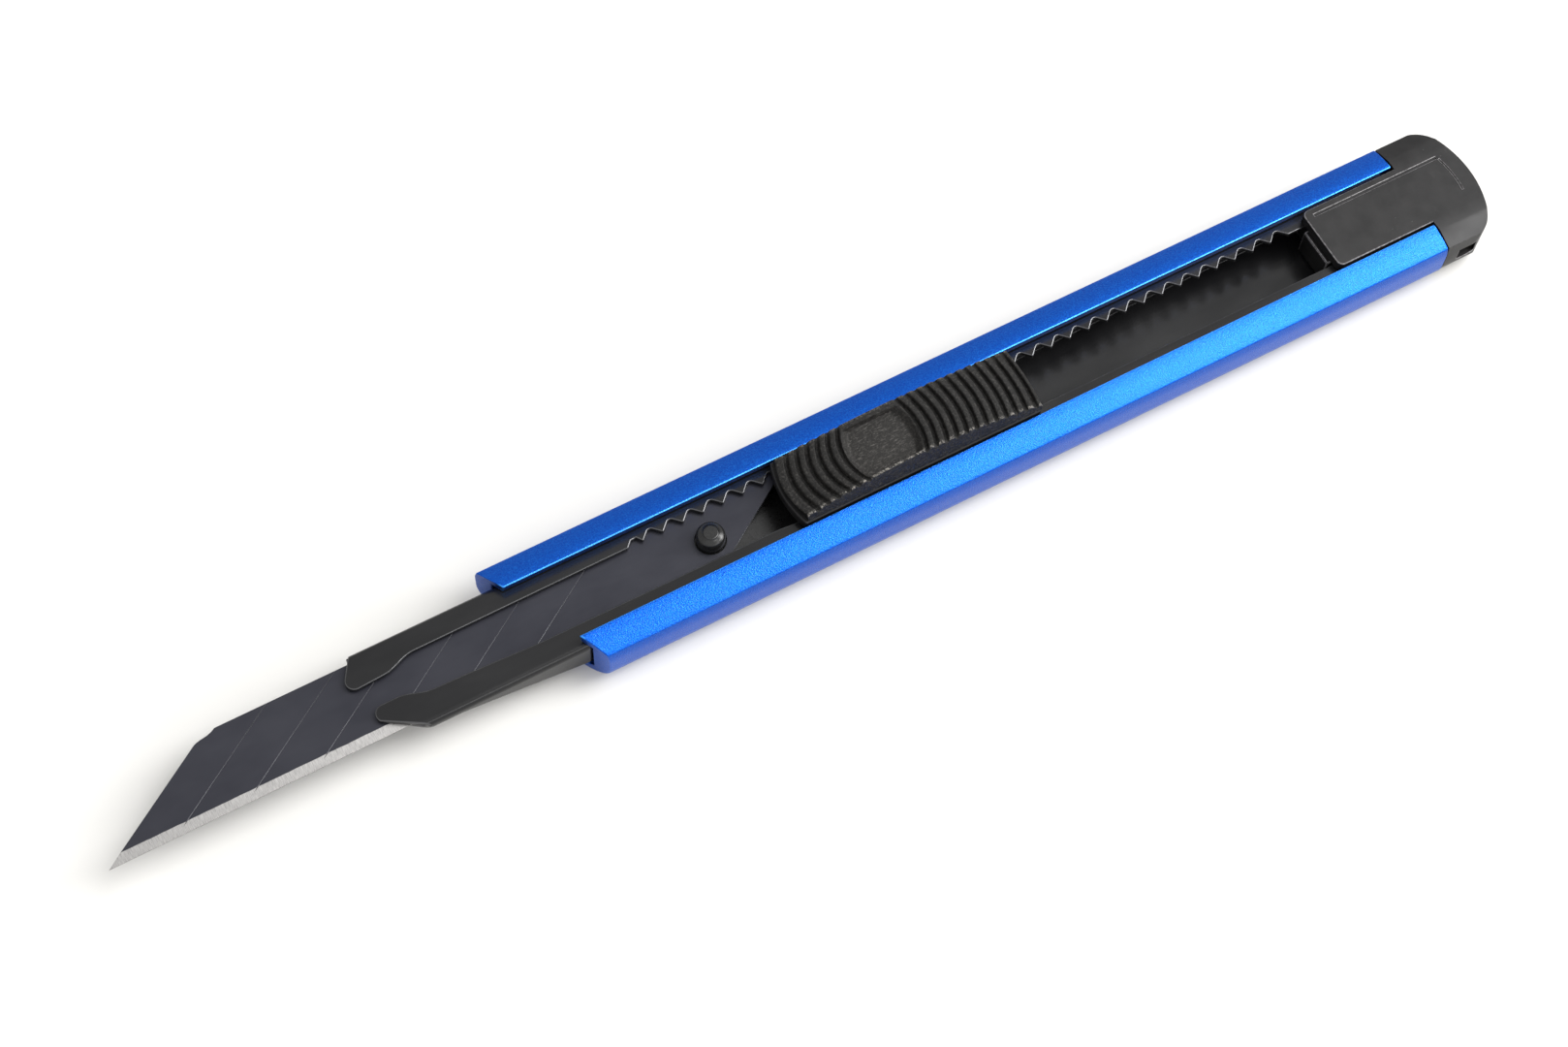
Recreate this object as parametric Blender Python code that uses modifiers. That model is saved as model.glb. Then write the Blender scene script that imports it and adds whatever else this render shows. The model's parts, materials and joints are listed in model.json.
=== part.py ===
"""Slim snap-off utility knife with a sliding blade, an auto-lock slider and a pull-off end cap.

Lengths below are millimetres and become metres when a mesh is finished.  X runs from the blade tip (-)
to the end cap (+), Y from the cutting edge (-) to the notched side (+), Z up from the table.
"""
import math

import bmesh
import bpy
from mathutils import Matrix, Vector

MM = 0.001

# Aluminium body
TAIL_X = 76.1              # square tail end of the rails
FRONT_X = -33.8            # where the slanted front cut crosses the centre line
CUT_SLOPE = -0.530         # the front cut moves this far along X per millimetre of Y
BODY_TOP = 7.2
LIP_HALF = 4.28            # half of the opening between the two lips
LIP_THICK = 1.25
LIP_STEP = 0.13            # the lower part of each lip's inner face is set back
LIP_STEP_DOWN = 0.5
CROWN = 0.13               # how far the top of each rail bulges above a straight line
RIDGE_HALF = 7.45
RIDGE_Z = 6.45
SIDE_HALF = 7.7
SIDE_Z = 4.6
CORNER_R = 3.1
CAVITY_HALF = 5.7
CAVITY_FLOOR = 1.15
EDGE_BREAK = 0.14

# Steel blade channel
CH_FAR = 5.57              # outside of the wall on the notched side
CH_NEAR = -5.37            # outside of the wall on the plain side
CH_SHEET = 0.5
CH_TOP = 5.75
CH_BOTTOM = 1.25
CH_NOSE_BOTTOM = 4.12      # underside of the nose, right below the blade
CH_BEND = 0.7
NOSE_X = -55.2
RAMP_FRONT_X = -45.4
RAMP_BACK_X = -30.4
CH_TAIL_X = 75.3
FAR_EDGE = 2.88            # edge of the notched flange
NEAR_EDGE = -2.62          # edge of the plain flange
NEAR_FINGER_Y = -1.06      # inner edges of the two guide fingers at the nose
FAR_FINGER_Y = 1.6
FINGER_R = 1.02
NOTCH_FIRST_X = -19.2
NOTCH_PITCH = 2.41
NOTCH_COUNT = 34
NOTCH_R = 0.5              # rounding at the bottom of a notch
NOTCH_DEEP_Y = 3.83        # deepest point of a notch; its flanks slope at 45 degrees
TOOTH_R = 0.15             # rounding of a tooth tip

# Blade
BLADE_EDGE_Y = -4.2
BLADE_BACK_Y = 4.85
BLADE_TOP = 5.10
BLADE_THICK = 0.38
GRIND_Y = -3.1
EDGE_THICK = 0.04
SCORE_ANGLE = math.radians(33.0)
SCORE_PITCH = 7.68
SCORE_COUNT = 6
TIP_AT_CENTRE = -77.5      # X of the slanted tip edge on the line y = 0
REAR_AT_CENTRE = -8.77
SCORE_DEPTH = 0.06
SCORE_WIDTH = 0.09
BLADE_CLEARANCE = 0.4      # along X, between the rear edge of the blade and the slider

# Stud, carrier strip and rivets
STUD_X = -13.9
STUD_Y = -0.1
STUD_R = 1.6
STUD_TOP = 6.95
HOLE_R = 1.72
STRIP_THICK = 0.5
STRIP_TOP = 4.65
STRIP_HALF = 2.9
STRIP_FRONT_X = -18.0
STRIP_JOG_FRONT_X = -9.4
STRIP_JOG_BACK_X = -5.6
STRIP_LOW_TOP = 2.4
RIVET_R = 0.8
RIVET_X = (4.6, 14.4)

# Slider
SLIDER_FRONT_X = -5.3
SLIDER_BACK_X = 24.9
FOOT_HALF = 4.6
FOOT_BOTTOM = 2.5
FOOT_TOP = 5.15
NECK_NEAR = -2.35
NECK_FAR = 2.3
PLATE_BOTTOM = 5.85
PLATE_TOP = 7.3
PLATE_HALF = 4.05
GRIP_BOTTOM = 7.4
GRIP_BASE_HALF = 4.0
GRIP_TOP_HALF = 3.55
GRIP_END_TOP = 8.15
GRIP_MID_TOP = 10.0
GRIP_MID_X = 9.8
RIB_PITCH = 1.2
GROOVE_R = 0.27
FRONT_GROOVES = 6
REAR_GROOVES = 12
RECESS_FLOOR = 9.42
LOST_MOTION = 0.85         # grip travel that draws the pawl out of its notch
POST_X = (0.6, 18.6)
POST_LENGTH = 3.0
POST_WIDTH = 1.8

# Lock pawl
PAWL_NOTCH = 12
PAWL_NOSE_Y = 3.5
PAWL_NOSE_R = 0.6
PAWL_BACK_Y = -1.0
PAWL_HALF = 1.7
PAWL_BOTTOM = 5.27
PAWL_TOP = 5.71
PIN_R = 0.55
PIN_Y = 0.6
PIN_TOP = 8.2
POCKET_HALF = 2.3
POCKET_BACK_Y = -2.0

# End cap
CAP_BACK_X = 83.85
CAP_TAIL_R = 13.0          # plan radius of the tail, and of its two corners
CAP_CORNER_R = 3.0
CAP_GAP = 0.15
CAP_CREST_HALF = 5.15
CAP_HALF = 7.6
TONGUE_FRONT_X = 63.6
TONGUE_HALF = 3.95
TONGUE_CORNER_R = 0.75
LINE_NEAR = 2.84           # sides and ends of the straight line sunk in the cap's top face
LINE_FAR = 3.16
LINE_FRONT_X = 64.7
LINE_BACK_X = 81.4
LINE_DEPTH = 0.14
TAIL_LINE_X = 81.92
TAIL_LINE_WIDTH = 0.16
PLUG_FRONT_X = 63.25
PLUG_WIDE_X = 64.3         # from here back the plug also fills the channel below its flanges
PLUG_HALF = 4.75
PLUG_NECK_HALF = 2.36
PLUG_LEDGE = 5.6           # top of the plug where it shows in front of the tongue
PLUG_BOTTOM = 1.87
PLUG_TOP = 5.13
CORD_SLOT_X = 79.2         # middle of the opening in the side face
CORD_SLOT_WIDTH = 1.84
CORD_SLOT_LOW = 2.95
CORD_SLOT_HIGH = 4.8
CORD_SLOT_ANGLE = math.radians(50.0)


def clear_scene():
    for obj in list(bpy.data.objects):
        bpy.data.objects.remove(obj, do_unlink=True)


def make_material(name, rgb, roughness, metallic):
    mat = bpy.data.materials.new(name)
    mat.use_nodes = True
    shader = mat.node_tree.nodes["Principled BSDF"]
    shader.inputs["Base Color"].default_value = (*rgb, 1.0)
    shader.inputs["Roughness"].default_value = roughness
    shader.inputs["Metallic"].default_value = metallic
    mat.diffuse_color = (*rgb, 1.0)
    return mat


def new_object(name, mesh):
    obj = bpy.data.objects.new(name, mesh)
    bpy.context.scene.collection.objects.link(obj)
    return obj


def evaluated_mesh(obj):
    bpy.context.view_layer.update()
    depsgraph = bpy.context.evaluated_depsgraph_get()
    return bpy.data.meshes.new_from_object(obj.evaluated_get(depsgraph))


def arc(cx, cy, radius, start, end, steps):
    """Points on a circle from start to end, both in degrees."""
    points = []
    for i in range(steps + 1):
        t = math.radians(start + (end - start) * i / steps)
        points.append((cx + radius * math.cos(t), cy + radius * math.sin(t)))
    return points


def prism(name, outline, axis, low, high):
    """Solid with a flat outline, extruded along axis from low to high.

    The outline is (y, z) for axis X, (x, z) for axis Y and (x, y) for axis Z.
    """
    curve = bpy.data.curves.new(name, "CURVE")
    curve.dimensions = "2D"
    curve.fill_mode = "BOTH"
    curve.extrude = (high - low) / 2
    spline = curve.splines.new("POLY")
    spline.points.add(len(outline) - 1)
    for point, (u, v) in zip(spline.points, outline):
        point.co = (u, v, 0.0, 1.0)
    spline.use_cyclic_u = True
    holder = new_object(name + "_outline", curve)
    mesh = evaluated_mesh(holder)
    bpy.data.objects.remove(holder, do_unlink=True)
    bpy.data.curves.remove(curve)
    middle = (high + low) / 2
    if axis == "X":
        turn = Matrix(((0, 0, 1, middle), (1, 0, 0, 0), (0, 1, 0, 0), (0, 0, 0, 1)))
    elif axis == "Y":
        turn = Matrix(((1, 0, 0, 0), (0, 0, -1, middle), (0, 1, 0, 0), (0, 0, 0, 1)))
    else:
        turn = Matrix.Translation((0, 0, middle))
    mesh.transform(turn)
    weld(mesh)
    return new_object(name, mesh)


def weld(mesh):
    bm = bmesh.new()
    bm.from_mesh(mesh)
    bmesh.ops.remove_doubles(bm, verts=bm.verts, dist=1e-4)
    bmesh.ops.recalc_face_normals(bm, faces=bm.faces)
    bm.to_mesh(mesh)
    bm.free()


def box(name, x0, x1, y0, y1, z0, z1):
    bm = bmesh.new()
    scale = Matrix.Diagonal((x1 - x0, y1 - y0, z1 - z0, 1))
    shift = Matrix.Translation(((x0 + x1) / 2, (y0 + y1) / 2, (z0 + z1) / 2))
    bmesh.ops.create_cube(bm, size=1, matrix=shift @ scale)
    mesh = bpy.data.meshes.new(name)
    bm.to_mesh(mesh)
    bm.free()
    return new_object(name, mesh)


def cylinder(name, x, y, z0, z1, radius, segments=48, top_radius=None):
    bm = bmesh.new()
    top = radius if top_radius is None else top_radius
    shift = Matrix.Translation((x, y, (z0 + z1) / 2))
    bmesh.ops.create_cone(bm, cap_ends=True, segments=segments, radius1=radius, radius2=top,
                          depth=z1 - z0, matrix=shift)
    mesh = bpy.data.meshes.new(name)
    bm.to_mesh(mesh)
    bm.free()
    return new_object(name, mesh)


def lathe(name, x, y, profile, steps=48):
    """Solid of revolution about a vertical axis; the (radius, z) profile runs from top to bottom."""
    bm = bmesh.new()
    verts = [bm.verts.new((radius, 0.0, z)) for radius, z in profile]
    for a, b in zip(verts, verts[1:]):
        bm.edges.new((a, b))
    mesh = bpy.data.meshes.new(name)
    bm.to_mesh(mesh)
    bm.free()
    holder = new_object(name + "_profile", mesh)
    screw = holder.modifiers.new("Turn", "SCREW")
    screw.axis = "Z"
    screw.angle = 2 * math.pi
    screw.steps = steps
    screw.render_steps = steps
    screw.use_merge_vertices = True
    screw.merge_threshold = 1e-4
    turned = evaluated_mesh(holder)
    bpy.data.objects.remove(holder, do_unlink=True)
    turned.transform(Matrix.Translation((x, y, 0)))
    weld(turned)
    return new_object(name, turned)


def combine(target, tool, operation):
    """Boolean of two solids; the tool is used up."""
    mod = target.modifiers.new("Combine", "BOOLEAN")
    mod.operation = operation
    mod.solver = "EXACT"
    mod.object = tool
    mesh = evaluated_mesh(target)
    target.modifiers.clear()
    old = target.data
    target.data = mesh
    bpy.data.meshes.remove(old)
    bpy.data.objects.remove(tool, do_unlink=True)
    weld(mesh)
    return target


def cut(target, *tools):
    for tool in tools:
        combine(target, tool, "DIFFERENCE")
    return target


def add(target, *tools):
    for tool in tools:
        combine(target, tool, "UNION")
    return target


def round_edges(obj, radius, segments, wanted):
    """Bevel the edges for which wanted(edge) is true."""
    bm = bmesh.new()
    bm.from_mesh(obj.data)
    bmesh.ops.dissolve_limit(bm, angle_limit=0.002, verts=bm.verts, edges=bm.edges)
    edges = [edge for edge in bm.edges if wanted(edge)]
    bmesh.ops.bevel(bm, geom=edges, offset=radius, segments=segments, profile=0.5,
                    affect="EDGES", clamp_overlap=True)
    bmesh.ops.recalc_face_normals(bm, faces=bm.faces)
    bm.to_mesh(obj.data)
    bm.free()


def edge_is_sharp(edge, degrees):
    return len(edge.link_faces) == 2 and edge.calc_face_angle(0) > math.radians(degrees)


def finish(obj, name, material, collection, origin, parent=None, smooth=30):
    """Scale to metres, set the origin, name, material and shading."""
    mesh = obj.data
    mesh.transform(Matrix.Translation(-Vector(origin)))
    mesh.transform(Matrix.Scale(MM, 4))
    obj.name = name
    mesh.name = name
    mesh.materials.clear()
    mesh.materials.append(material)
    for polygon in mesh.polygons:
        polygon.use_smooth = True
    mesh.set_sharp_from_angle(angle=math.radians(smooth))
    bpy.context.scene.collection.objects.unlink(obj)
    collection.objects.link(obj)
    place = Vector(origin) * MM
    if parent is not None:
        obj.parent = parent
        place = place - parent.matrix_world.translation
    obj.location = place
    bpy.context.view_layer.update()
    return obj


def crowned(y0, z0, y1, z1, rise, steps):
    """Points from (y0, z0) to (y1, z1) on a curve that bulges upwards by rise at its middle."""
    points = []
    for i in range(steps + 1):
        t = i / steps
        points.append((y0 + (y1 - y0) * t, z0 + (z1 - z0) * t + 4 * rise * t * (1 - t)))
    return points


def body_outline():
    outer = crowned(LIP_HALF, BODY_TOP, RIDGE_HALF, RIDGE_Z, CROWN, 8)
    outer += [(SIDE_HALF - 0.03, (RIDGE_Z + SIDE_Z) / 2)]
    outer += [(SIDE_HALF, SIDE_Z)]
    outer += arc(SIDE_HALF - CORNER_R, CORNER_R, CORNER_R, 0, -90, 10)
    inner_floor = [(CAVITY_HALF - 0.45, CAVITY_FLOOR), (CAVITY_HALF, CAVITY_FLOOR + 0.45)]
    lip_low = BODY_TOP - LIP_THICK
    step_z = BODY_TOP - LIP_STEP_DOWN
    inner = inner_floor + [(CAVITY_HALF, lip_low), (LIP_HALF + LIP_STEP, lip_low)]
    inner += [(LIP_HALF + LIP_STEP, step_z - LIP_STEP), (LIP_HALF, step_z)]
    right = list(reversed(outer)) + list(reversed(inner))
    left = [(-u, v) for u, v in reversed(right)]
    return right + left


def make_body(material, collection):
    obj = prism("body", body_outline(), "X", FRONT_X - 9.0, TAIL_X)
    reach = 12.0
    slope = [(FRONT_X + CUT_SLOPE * y, y) for y in (-reach, reach)]
    front = slope + [(FRONT_X - 30, reach), (FRONT_X - 30, -reach)]
    cut(obj, prism("front_cut", front, "Z", -1.0, BODY_TOP + 1.0))
    round_edges(obj, EDGE_BREAK, 2, lambda edge: edge_is_sharp(edge, 50))
    return finish(obj, "body_extrusion", material, collection, (TAIL_X, 0, 0))


def channel_side(shrink):
    """Side outline of the channel, shrunk inwards by the sheet thickness."""
    top = CH_TOP - shrink
    low = CH_BOTTOM + shrink
    nose = CH_NOSE_BOTTOM + shrink
    front = NOSE_X - 4 if shrink == 0 else NOSE_X - 8
    back = CH_TAIL_X if shrink == 0 else CH_TAIL_X + 4
    return [(front, top), (front, nose), (RAMP_FRONT_X, nose), (RAMP_BACK_X, low), (back, low), (back, top)]


def runs_lengthwise(edge):
    span = edge.verts[0].co - edge.verts[1].co
    return abs(span.y) < 1e-4 and abs(span.x) > 3.0 and edge_is_sharp(edge, 30)


def notched_edge():
    """Rounded notches with 45 degree flanks and narrow teeth, from the tail end to the front."""
    flank = NOTCH_DEEP_Y + NOTCH_R * (math.sqrt(2) - 1)
    tooth_y = flank - NOTCH_PITCH / 2 + TOOTH_R * math.sqrt(2)
    points = []
    for i in reversed(range(NOTCH_COUNT)):
        centre = NOTCH_FIRST_X + NOTCH_PITCH * i
        points += arc(centre, NOTCH_DEEP_Y - NOTCH_R, NOTCH_R, 45, 135, 6)
        if i > 0:
            points += arc(centre - NOTCH_PITCH / 2, tooth_y, TOOTH_R, -45, -135, 4)
    end = NOTCH_PITCH / 2 - 0.05
    start = (NOTCH_FIRST_X + NOTCH_PITCH * (NOTCH_COUNT - 1) + end, FAR_EDGE)
    return [start] + points + [(NOTCH_FIRST_X - end, FAR_EDGE)]


def eased(x0, y0, x1, y1, steps=6):
    """Points on a smooth step from one level to another."""
    points = []
    for i in range(steps + 1):
        t = i / steps
        points.append((x0 + (x1 - x0) * t, y0 + (y1 - y0) * t * t * (3 - 2 * t)))
    return points


def window_outline():
    """Plan outline of everything cut out of the top of the channel, round the two guide fingers."""
    clear = 7.0
    ahead = NOSE_X - 9.0
    behind = CH_TAIL_X + 4.0
    near = [(ahead, -clear), (-48.2, -clear), (-48.5, -5.7)]
    near += arc(-52.68, NEAR_FINGER_Y - FINGER_R, FINGER_R, 215, 90, 8)
    near += eased(-50.8, NEAR_FINGER_Y, -47.2, NEAR_FINGER_Y - 0.88)
    near += [(-43.6, -2.05), (-35.1, -2.45), (-7.0, NEAR_EDGE), (-5.2, NEAR_EDGE - 0.14)]
    near += [(behind, NEAR_EDGE - 0.14)]
    far = [(behind, FAR_EDGE)]
    far += notched_edge()
    first = NOTCH_FIRST_X - NOTCH_PITCH
    far += [(first + 0.75, FAR_EDGE + 0.72), (first + 0.1, FAR_EDGE + 0.66), (first - 0.55, FAR_EDGE)]
    far += eased(-47.2, FAR_EDGE - 0.06, -51.0, FAR_FINGER_Y + 0.16)
    far += arc(-53.95, FAR_FINGER_Y + FINGER_R, FINGER_R, 270, 145, 8)
    far += [(-53.45, 5.3), (-53.3, clear), (ahead, clear)]
    return near + far


def make_channel(material, collection):
    obj = prism("channel", channel_side(0), "Y", CH_NEAR, CH_FAR)
    round_edges(obj, CH_BEND, 4, runs_lengthwise)
    inside = prism("inside", channel_side(CH_SHEET), "Y", CH_NEAR + CH_SHEET, CH_FAR - CH_SHEET)
    round_edges(inside, 0.2, 2, runs_lengthwise)
    cut(obj, inside)
    cut(obj, prism("window", window_outline(), "Z", CH_TOP - CH_SHEET - 0.3, CH_TOP + 1))
    floor_front = [(NOSE_X - 9, -7.5), (-48.3, -7.5), (-48.7, -5.5), (-51.0, -3.9), (-54.1, 1.5)]
    floor_front += [(-53.7, 5.2), (-53.5, 7.5), (NOSE_X - 9, 7.5)]
    cut(obj, prism("mouth", floor_front, "Z", 0.0, CH_TOP - CH_SHEET - 0.1))
    return finish(obj, "blade_channel", material, collection, (CH_TAIL_X, 0, CH_BOTTOM))


def slanted_x(centre_x, y):
    return centre_x + y / math.tan(SCORE_ANGLE)


def make_blade(material, collection, parent):
    top = BLADE_TOP
    low = BLADE_TOP - BLADE_THICK
    mid = (top + low) / 2
    section = [(BLADE_BACK_Y, low), (BLADE_BACK_Y, top), (GRIND_Y, top)]
    section += [(BLADE_EDGE_Y, mid + EDGE_THICK / 2), (BLADE_EDGE_Y, mid - EDGE_THICK / 2), (GRIND_Y, low)]
    obj = prism("blade", section, "X", TIP_AT_CENTRE - 20, REAR_AT_CENTRE + 20)
    reach = 8.0
    snap_y = 4.05
    snap_x = slanted_x(TIP_AT_CENTRE, snap_y)
    plan = [(slanted_x(TIP_AT_CENTRE, -reach), -reach), (slanted_x(REAR_AT_CENTRE, -reach), -reach)]
    plan += [(slanted_x(REAR_AT_CENTRE, reach), reach), (snap_x + 2.9, reach), (snap_x + 2.6, BLADE_BACK_Y)]
    plan += [(snap_x + 2.2, 4.62), (snap_x + 1.6, 4.42), (snap_x + 0.8, 4.3), (snap_x + 0.35, 4.2)]
    plan += [(snap_x, snap_y)]
    combine(obj, prism("plan", plan, "Z", low - 1, top + 1), "INTERSECT")
    cut(obj, cylinder("hole", STUD_X, STUD_Y, low - 1, top + 1, HOLE_R))
    for i in range(1, SCORE_COUNT + 1):
        cut(obj, score_line(TIP_AT_CENTRE - 0.45 + SCORE_PITCH * i, top))
    return finish(obj, "blade", material, collection, (STUD_X, STUD_Y, mid), parent)


def score_line(centre_x, top):
    """Vee-shaped cutter lying along one snap line."""
    half = SCORE_WIDTH
    vee = [(-half, SCORE_DEPTH), (0.0, -SCORE_DEPTH), (half, SCORE_DEPTH)]
    tool = prism("score", vee, "X", -14.0, 14.0)
    turn = Matrix.Rotation(SCORE_ANGLE, 4, "Z")
    tool.data.transform(Matrix.Translation((centre_x, 0, top)) @ turn)
    return tool


def make_stud(material, collection, parent):
    strip_low = STRIP_TOP - STRIP_THICK
    profile = [(0.0, STUD_TOP), (0.7, STUD_TOP), (0.82, STUD_TOP - 0.04), (0.86, STUD_TOP - 0.16)]
    profile += [(1.26, STUD_TOP - 0.26), (1.46, STUD_TOP - 0.42), (STUD_R, STUD_TOP - 0.8)]
    profile += [(STUD_R, STRIP_TOP + 0.06), (1.1, STRIP_TOP + 0.06), (1.1, strip_low - 0.06)]
    profile += [(1.55, strip_low - 0.06), (1.35, strip_low - 0.36), (0.0, strip_low - 0.38)]
    head = lathe("stud", STUD_X, STUD_Y, profile)
    return finish(head, "blade_stud", material, collection, (STUD_X, STUD_Y, STRIP_TOP), parent)


def make_carrier(material, collection, parent):
    low = STRIP_TOP - STRIP_THICK
    low_bottom = STRIP_LOW_TOP - STRIP_THICK
    side = [(STRIP_FRONT_X, STRIP_TOP), (STRIP_FRONT_X, low), (STRIP_JOG_FRONT_X, low)]
    side += [(STRIP_JOG_BACK_X, low_bottom), (SLIDER_BACK_X - 0.6, low_bottom)]
    side += [(SLIDER_BACK_X - 0.6, STRIP_LOW_TOP), (STRIP_JOG_BACK_X + 0.25, STRIP_LOW_TOP)]
    side += [(STRIP_JOG_FRONT_X + 0.25, STRIP_TOP)]
    obj = prism("carrier", side, "Y", -STRIP_HALF, STRIP_HALF)
    ends = (STRIP_FRONT_X, SLIDER_BACK_X - 0.6)

    def corner(edge):
        a, b = (vert.co for vert in edge.verts)
        upright = abs(a.x - b.x) < 1e-4 and abs(a.y - b.y) < 1e-4
        return upright and min(abs(a.x - end) for end in ends) < 1e-3

    round_edges(obj, 1.4, 6, corner)
    cut(obj, cylinder("stud_hole", STUD_X, STUD_Y, 0, 6, 1.15))
    for x in RIVET_X:
        cut(obj, cylinder("rivet_hole", x, 0, 0, 6, RIVET_R + 0.05, 32))
        cut(obj, cylinder("sink", x, 0, low_bottom - 0.02, low_bottom + 0.3, 1.5, 32, RIVET_R + 0.05))
    return finish(obj, "blade_carrier", material, collection, (STRIP_FRONT_X, 0, low), parent)


def make_rivet(name, x, material, collection, parent):
    low = STRIP_LOW_TOP - STRIP_THICK
    obj = cylinder("rivet", x, 0, low + 0.15, FOOT_TOP - 0.9, RIVET_R, 32)
    add(obj, cylinder("sunk_head", x, 0, low + 0.03, low + 0.28, 1.38, 32, RIVET_R))
    return finish(obj, name, material, collection, (x, 0, low), parent)


def pawl_x():
    return NOTCH_FIRST_X + NOTCH_PITCH * PAWL_NOTCH


def bowed_end(centre_x, half, bow, steps, sign):
    """Points across the width on an end that bows outwards by bow at the middle."""
    points = []
    for i in range(steps + 1):
        y = -half + 2 * half * i / steps
        points.append((centre_x + sign * bow * (1 - (y / half) ** 2), y))
    return points


def foot_plan(front, back):
    """Plan outline of the foot, with one front corner cut along the slanted rear edge of the blade."""
    clear = REAR_AT_CENTRE + BLADE_CLEARANCE
    corner_y = (front - clear) * math.tan(SCORE_ANGLE)
    return [(front, -FOOT_HALF), (front, corner_y), (slanted_x(clear, FOOT_HALF), FOOT_HALF),
            (back, FOOT_HALF), (back, -FOOT_HALF)]


def make_slider_base(material, collection, parent):
    front = bowed_end(SLIDER_FRONT_X + 0.75, PLATE_HALF, 0.7, 12, -1)
    back = bowed_end(SLIDER_BACK_X - 0.35, PLATE_HALF, 0.3, 12, 1)
    obj = prism("plate", front + list(reversed(back)), "Z", PLATE_BOTTOM, PLATE_TOP)
    round_edges(obj, 0.12, 1, lambda edge: edge_is_sharp(edge, 50))
    x0 = SLIDER_FRONT_X + 1.6
    x1 = SLIDER_BACK_X - 1.0
    add(obj, box("neck", x0 + 0.4, x1 - 0.4, NECK_NEAR, NECK_FAR, FOOT_TOP - 0.4, PLATE_BOTTOM + 0.4))
    foot = prism("foot", foot_plan(x0, x1), "Z", FOOT_BOTTOM, FOOT_TOP)
    round_edges(foot, 0.25, 2, lambda edge: edge_is_sharp(edge, 50))
    add(obj, foot)
    px = pawl_x()
    cut(obj, box("pocket", px - POCKET_HALF, px + POCKET_HALF, POCKET_BACK_Y, NECK_FAR + 4,
                 FOOT_TOP + 0.03, PLATE_BOTTOM - 0.03))
    slot_near = PIN_Y - LOST_MOTION - PIN_R - 0.15
    slot_far = PIN_Y + PIN_R + 0.15
    slot_half = PIN_R + 0.1
    cut(obj, box("pin_slot", px - slot_half, px + slot_half, slot_near, slot_far,
                 PLATE_BOTTOM - 0.2, PLATE_TOP + 1))
    for x in POST_X:
        cut(obj, box("post_slot", x - POST_LENGTH / 2 - LOST_MOTION - 0.15, x + POST_LENGTH / 2 + 0.15,
                     -POST_WIDTH / 2 - 0.12, POST_WIDTH / 2 + 0.12, 4.1, PLATE_TOP + 1))
    for x in RIVET_X:
        cut(obj, cylinder("rivet_hole", x, 0, FOOT_BOTTOM - 1, FOOT_TOP - 0.8, RIVET_R + 0.05, 32))
    return finish(obj, "slider_base", material, collection, (px, 0, PLATE_BOTTOM), parent)


def crown_radius():
    half = (SLIDER_BACK_X - SLIDER_FRONT_X) / 2
    rise = GRIP_MID_TOP - GRIP_END_TOP
    return (half * half + rise * rise) / (2 * rise)


def crown_height(x):
    """Height of the crowned top of the grip at a place along its length."""
    radius = crown_radius()
    return GRIP_MID_TOP - radius + math.sqrt(radius * radius - (x - GRIP_MID_X) ** 2)


def groove(vertex_x, sagitta, sign):
    """Round-bottomed groove across the grip, bowed towards one end and following the crown."""
    curve = bpy.data.curves.new("groove", "CURVE")
    curve.dimensions = "3D"
    curve.bevel_depth = GROOVE_R
    curve.bevel_resolution = 1
    curve.use_fill_caps = True
    spline = curve.splines.new("POLY")
    steps = 10
    half = GRIP_BASE_HALF + 0.6
    spline.points.add(steps)
    for i, point in enumerate(spline.points):
        y = -half + 2 * half * i / steps
        x = vertex_x - sign * sagitta * (y / GRIP_TOP_HALF) ** 2
        point.co = (x, y, crown_height(x) + 0.06, 1.0)
    holder = new_object("groove_curve", curve)
    mesh = evaluated_mesh(holder)
    bpy.data.objects.remove(holder, do_unlink=True)
    weld(mesh)
    return new_object("groove", mesh)


def grip_section():
    rise = GRIP_MID_TOP + 1 - GRIP_BOTTOM
    lean = (GRIP_BASE_HALF - GRIP_TOP_HALF) / (GRIP_MID_TOP - GRIP_BOTTOM)
    top_half = GRIP_BASE_HALF - lean * rise
    return [(-GRIP_BASE_HALF, GRIP_BOTTOM), (GRIP_BASE_HALF, GRIP_BOTTOM),
            (top_half, GRIP_MID_TOP + 1), (-top_half, GRIP_MID_TOP + 1)]


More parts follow.
